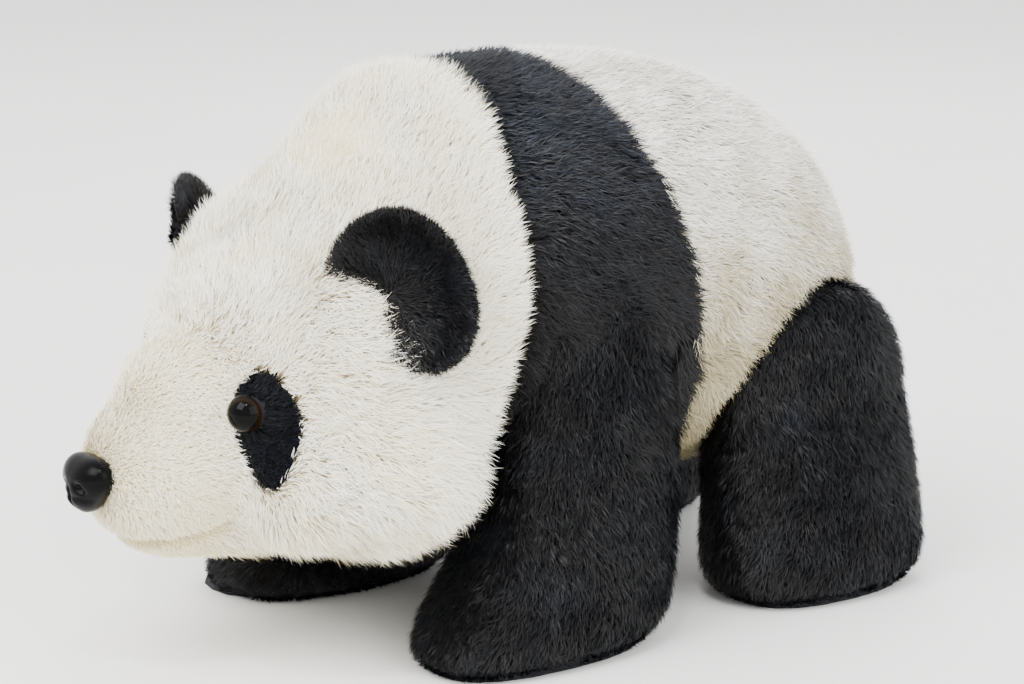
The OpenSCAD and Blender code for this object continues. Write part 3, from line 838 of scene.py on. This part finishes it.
def growPile(name, skin, mask, fur, body, amount, settings=None):
    values = {"Strand": blade, "Density": amount * 1e6, "Length": 0.001, "Width": 0.0005, "Tuft": 0.5,
              "Tuft Scale": 130, "Turn": 0.5, "Tint Spread": 0.4, "Seed": len(pileNames) + 1,
              "Material": furs[fur]}
    values.update(settings or {})
    writeAttributes(skin, {"mask": mask})
    holder = bpy.data.objects.new(name + "Source", skin.data)
    scene.collection.objects.link(holder)
    mod = holder.modifiers.new("pile", "NODES")
    mod.node_group = strands
    ids = {i.name: i.identifier for i in strands.interface.items_tree if i.in_out == "INPUT"}
    for key, value in values.items():
        mod[ids[key]] = value
    graph = bpy.context.evaluated_depsgraph_get()
    mesh = bpy.data.meshes.new_from_object(holder.evaluated_get(graph))
    bpy.data.objects.remove(holder)
    for extra in [a.name for a in mesh.attributes if not a.name.startswith(".")]:
        if extra not in ("OFBake", "position", "sharp_face", "material_index"):
            a = mesh.attributes.get(extra)
            if a and not a.is_required:
                mesh.attributes.remove(a)
    mesh.materials.clear()
    mesh.materials.append(furs[fur])
    obj = bpy.data.objects.new(name, mesh)
    scene.collection.objects.link(obj)
    p = points(obj)
    if len(p) and p[:, 2].min() < 0.2:
        p[:, 2] = np.maximum(p[:, 2], 0.2)
        setPoints(obj, p)
    print(name, "triangles", int(len(mesh.polygons) * 1.5))
    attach(obj, body)
    pileNames.append(name)
    return obj


pileNames = []
h = skins["head"]
side, patch, open_, top, muzzleZone = (attributeOf(h, k)
                                       for k in ("side", "patch", "open", "top", "muzzle"))
soft = np.minimum(open_, -patch)
back = np.minimum(soft, -muzzleZone)
growPile("furHeadLeft", h, np.minimum.reduce([back, side, -top]), "cream", "head", 2.0, {"Tuft": 0.65})
growPile("furHeadRight", h, np.minimum.reduce([back, -side, -top]), "cream", "head", 2.0, {"Tuft": 0.65})
growPile("furHeadTop", h, np.minimum(back, top), "cream", "head", 1.8, {"Tuft": 0.65})
growPile("furMuzzle", h, np.minimum(soft, muzzleZone), "muzzle", "head", 3.2,
         {"Width": 0.0004, "Tuft": 0.25, "Turn": 0.7})
growPile("furPatches", h, np.minimum(open_, patch), "black", "head", 3.0,
         {"Width": 0.0004, "Length": 0.0007, "Tuft": 0.3})
b = skins["trunk"]
side, band, open_, top = (attributeOf(b, k) for k in ("side", "band", "open", "top"))
growPile("furBandLeft", b, np.minimum.reduce([open_, band, side]), "black", "trunk", 1.5)
growPile("furBandRight", b, np.minimum.reduce([open_, band, -side]), "black", "trunk", 1.5)
rump = np.minimum(open_, -band)
growPile("furRumpLeft", b, np.minimum.reduce([rump, side, -top]), "grey", "trunk", 1.7, {"Tuft": 0.7})
growPile("furRumpRight", b, np.minimum.reduce([rump, -side, -top]), "grey", "trunk", 1.7, {"Tuft": 0.7})
growPile("furBack", b, np.minimum(rump, top), "grey", "trunk", 1.7, {"Tuft": 0.7})
for name in legs:
    growPile("fur_" + name, skins[name], attributeOf(skins[name], "open"), "black", name, 1.5)
for name in ("ear_left", "ear_right"):
    growPile("fur_" + name, skins[name], attributeOf(skins[name], "open"), "black", name, 2.4,
             {"Width": 0.0004})
growPile("furTail", skins["tail"], attributeOf(skins["tail"], "open"), "grey", "tail", 1.8)
bpy.data.objects.remove(blade)
print("pile grown")


# ---- nose and mouth seam ----

nose = {"wide": 13.8, "high": 12.2, "deep": 9.0, "z": 82.0, "y": -189.5, "tilt": -8}


def noseMesh():
    rings, n = [], 72
    a = np.linspace(0, 2 * np.pi, n, endpoint=False)
    cos, sin = np.cos(a), np.sin(a)
    # a rounded triangle, broad above and narrow below
    outline = 1 - 0.10 * np.cos(3 * (a - np.pi / 2)) - 0.10 * (sin < 0) * (-sin) ** 2
    rx, rz = nose["wide"] * outline * (1 + 0.10 * sin), nose["high"] * outline
    dome = [(math.cos(k), math.sin(k)) for k in np.radians(np.linspace(6, 87, 26))]
    for q, d in [(0.80, -6), (0.97, -3), (1.0, 0)] + dome:
        depth = nose["deep"] * d if 0 < d <= 1 else d
        x, z = rx * q * cos, rz * q * sin
        y = np.full(n, -depth)
        if d > 0:
            for side in (-1, 1):
                across = (x - side * 6.2) / 2.0
                down = (z + 1.4 + 0.35 * (x * side - 6.2)) / 1.4
                y = y + 2.8 * np.exp(-(across ** 2 + down ** 2))
            y = y + 1.3 * np.exp(-(x / 0.8) ** 2) * smoothStep(-z, 0.5, 3.5)
            y = y - 0.5 * np.exp(-((z + 7.8) / 2.2) ** 2) * (1 - np.exp(-(x / 1.1) ** 2))
            y = y + 0.4 * np.exp(-((z + 5.3) / 0.9) ** 2)
        rings.append(np.stack([x, y, z], 1))
    rings = np.array(rings)
    t = math.radians(nose["tilt"])
    y, z = rings[:, :, 1].copy(), rings[:, :, 2].copy()
    rings[:, :, 1] = y * math.cos(t) - z * math.sin(t) + nose["y"]
    rings[:, :, 2] = y * math.sin(t) + z * math.cos(t) + nose["z"]
    return refined(meshFrom("noseMoulding", rings))


def tubeAlong(name, path, radius, n=10):
    path = np.array(path, float)
    step = np.gradient(path, axis=0)
    step /= np.linalg.norm(step, axis=1)[:, None]
    rings = []
    for i, (p, d) in enumerate(zip(path, step)):
        u = np.cross(d, [0, 0, 1.0])
        u /= np.linalg.norm(u)
        w = np.cross(d, u)
        r = radius * (0.3 if i in (0, len(path) - 1) else 1)
        turns = np.linspace(0, 2 * np.pi, n, endpoint=False)
        rings.append([p + r * (u * math.cos(k) + w * math.sin(k)) for k in turns])
    obj = meshFrom(name, np.array(rings))
    for face in obj.data.polygons:
        face.use_smooth = True
    return obj


# the seam runs where the pressed line lies on the muzzle's skin
def mouthSeam():
    p = points(skins["head"])
    near = p[(p[:, 1] < -143) & (mouthLine(p) < 3.2) & (p[:, 1] > -196)]
    path = []
    for a in np.linspace(-1.48, 1.48, 61):
        x, y = math.sin(a), -math.cos(a)
        lateral = near[:, 0] / 34
        forward = (near[:, 1] + 146) / 42
        turn = np.arctan2(lateral, -forward)
        k = np.argsort(np.abs(turn - a))[:6]
        path.append(near[k].mean(0))
    path = np.array(path)
    for _ in range(8):
        path[1:-1] = (path[:-2] + 2 * path[1:-1] + path[2:]) / 4
    return tubeAlong("mouthThread", path, 0.7)


noseObject = noseMesh()
mouthObject = mouthSeam()
print("nose and mouth made")


# ---- materials of the hard pieces and fillings ----

# moulded plastic: a fine grain, rubbed smoother in places
def plasticMaterial(name, colour, rough, grain, specular):
    m, t, shader = newMaterial(name)
    fine = pattern(t, "ShaderNodeTexNoise", {"Scale": 1800, "Detail": 3})
    broad = pattern(t, "ShaderNodeTexNoise", {"Scale": 120, "Detail": 2})
    rub = addNode(t, "ShaderNodeMapRange", {1: 0.3, 2: 0.7, 3: rough * 0.8, 4: rough * 1.25},
                  {0: broad["Fac"]})
    t.links.new(rub.outputs[0], shader.inputs["Roughness"])
    relief(t, shader, fine["Fac"], grain, 0.0002)
    shader.inputs["Base Color"].default_value = linear(colour)
    shader.inputs["Specular IOR Level"].default_value = specular
    return m


# a domed eye: black pupil, a thin brown iris and a dark rim, polished all over
def eyeMaterial(name, side):
    m, t, shader = newMaterial(name)
    centre, axis = eyeCentre(side)
    co = addNode(t, "ShaderNodeTexCoord")
    from_ = addNode(t, "ShaderNodeVectorMath", {"operation": "SUBTRACT", 1: tuple(centre / 1000)},
                    {0: co.outputs["Object"]})
    off = addNode(t, "ShaderNodeVectorMath", {"operation": "CROSS_PRODUCT", 1: tuple(axis)},
                  {0: from_.outputs[0]})
    far = addNode(t, "ShaderNodeVectorMath", {"operation": "LENGTH"}, {0: off.outputs[0]})
    part = addNode(t, "ShaderNodeMapRange", {1: 0.0, 2: 0.0076}, {0: far.outputs["Value"]})
    rings = [(0.0, "#020202"), (0.72, "#030303"), (0.79, "#150c06"), (0.85, "#1d110a"),
             (0.91, "#0a0706"), (1.0, "#030303")]
    t.links.new(ramp(t, part.outputs[0], rings), shader.inputs["Base Color"])
    shader.inputs["Roughness"].default_value = 0.08
    shader.inputs["Specular IOR Level"].default_value = 0.07
    return m


# crimped polyester filling
def fillingMaterial():
    m, t, shader = newMaterial("polyesterFilling")
    curl = pattern(t, "ShaderNodeTexNoise", {"Scale": 420, "Detail": 6, "Distortion": 1.5})["Fac"]
    t.links.new(ramp(t, curl, [(0.3, "#dcdcd8"), (0.7, "#fbfbf8")]), shader.inputs["Base Color"])
    relief(t, shader, curl, 0.8, 0.001)
    shader.inputs["Roughness"].default_value = 0.95
    return m


# short felt-like pile under the paws
def soleMaterial():
    m, t, shader = newMaterial("blackSolePile")
    fibre = pattern(t, "ShaderNodeTexNoise", {"Scale": 2200, "Detail": 4})["Fac"]
    t.links.new(ramp(t, fibre, [(0.3, "#060608"), (0.75, "#1c1e25")]), shader.inputs["Base Color"])
    relief(t, shader, fibre, 0.9, 0.0008)
    shader.inputs["Roughness"].default_value = 0.85
    return m


# twisted thread pressed into the muzzle
def threadMaterial():
    m, t, shader = newMaterial("mouthSeamThread")
    twist = pattern(t, "ShaderNodeTexWave", {"Scale": 700, "Distortion": 1.0})["Fac"]
    t.links.new(ramp(t, twist, [(0.2, "#7d6a41"), (0.8, "#ab965f")]), shader.inputs["Base Color"])
    relief(t, shader, twist, 0.7, 0.0003)
    shader.inputs["Roughness"].default_value = 0.8
    return m


def dress(obj, *materials):
    obj.data.materials.clear()
    for m in materials:
        obj.data.materials.append(m)


dress(skins["head"], backings["head"])
dress(skins["trunk"], backings["trunk"])
dress(skins["tail"], backings["tail"])
for name in list(legs) + ["ear_left", "ear_right"]:
    dress(skins[name], backings["black"])
dress(noseObject, plasticMaterial("satinBlackNose", "#020203", 0.22, 0.3, 0.07))
dress(mouthObject, threadMaterial())
filling, sole = fillingMaterial(), soleMaterial()
washer = plasticMaterial("milkyWasherPlastic", "#e8e8e4", 0.45, 0.2, 0.5)
eyes = {"eye_left": eyeMaterial("leftEyePlastic", 1), "eye_right": eyeMaterial("rightEyePlastic", -1)}
for node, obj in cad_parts.items():
    kind = None
    if "stuffing" in node:
        kind = filling
    elif "washer" in node:
        kind = washer
    elif "sole" in node:
        kind = sole
    elif node in eyes:
        kind = eyes[node]
    if kind:
        for s in obj.material_slots:
            s.material = kind
print("materials set")


# ---- what each piece rides on and stands for ----

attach(skins["trunk"], "trunk")
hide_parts("shoulder_band_left", "shoulder_band_right", "rump_cover_left",
            "rump_cover_right", "chest_panel", "belly_panel", "body_stuffing")
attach(skins["head"], "head")
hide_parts("head_cover_left", "head_cover_right", "forehead_gusset", "chin_panel",
            "muzzle_cover", "eye_patch_left", "eye_patch_right", "head_stuffing")
for name in legs:
    kind, _, side = name.partition("_leg_")
    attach(skins[name], name)
    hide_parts(f"{kind}_leg_outer_{side}", f"{kind}_leg_inner_{side}",
                f"{kind}_leg_stuffing_{side}")
for side in ("left", "right"):
    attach(skins["ear_" + side], "ear_" + side)
    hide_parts("ear_back_" + side, "ear_lining_" + side)
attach(skins["tail"], "tail")
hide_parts("tail_cover")
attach(noseObject, "head")
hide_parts("nose")
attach(mouthObject, "head")
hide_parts("mouth_seam")
print("pieces placed")


# ---- floor and light ----

# name, place in metres, width, watts; the spark gives the eyes and nose their glint
lamps = [("key", (0.2, -1.3, 1.5), 1.2, 50), ("fill", (1.6, 0.3, 0.9), 1.4, 22),
         ("back", (-1.2, 1.2, 1.4), 1.0, 18), ("spark", (0.58, -0.48, 1.4), 0.12, 6)]


def studio():
    mesh = bpy.data.meshes.new("floor")
    mesh.from_pydata([(-4, -4, 0), (4, -4, 0), (4, 4, 0), (-4, 4, 0)], [], [(0, 1, 2, 3)])
    floor = bpy.data.objects.new("floor", mesh)
    scene.collection.objects.link(floor)
    m, t, shader = newMaterial("paleFloor")
    mottle = pattern(t, "ShaderNodeTexNoise", {"Scale": 3})["Fac"]
    t.links.new(ramp(t, mottle, [(0.3, "#f2f2f0"), (0.7, "#f6f6f4")]), shader.inputs["Base Color"])
    shader.inputs["Roughness"].default_value = 0.9
    mesh.materials.append(m)
    world = bpy.data.worlds.new("softRoom")
    scene.world = world
    world.use_nodes = True
    world.node_tree.nodes["Background"].inputs[0].default_value = (1, 1, 1, 1)
    world.node_tree.nodes["Background"].inputs[1].default_value = 2.0
    for name, place, size, power_ in lamps:
        light = bpy.data.lights.new(name, "AREA")
        light.size = size
        light.energy = power_
        lamp = bpy.data.objects.new(name, light)
        lamp.location = place
        lamp.rotation_euler = (Vector((0, 0, 0.12)) - Vector(place)).to_track_quat("-Z", "Y").to_euler()
        scene.collection.objects.link(lamp)


studio()
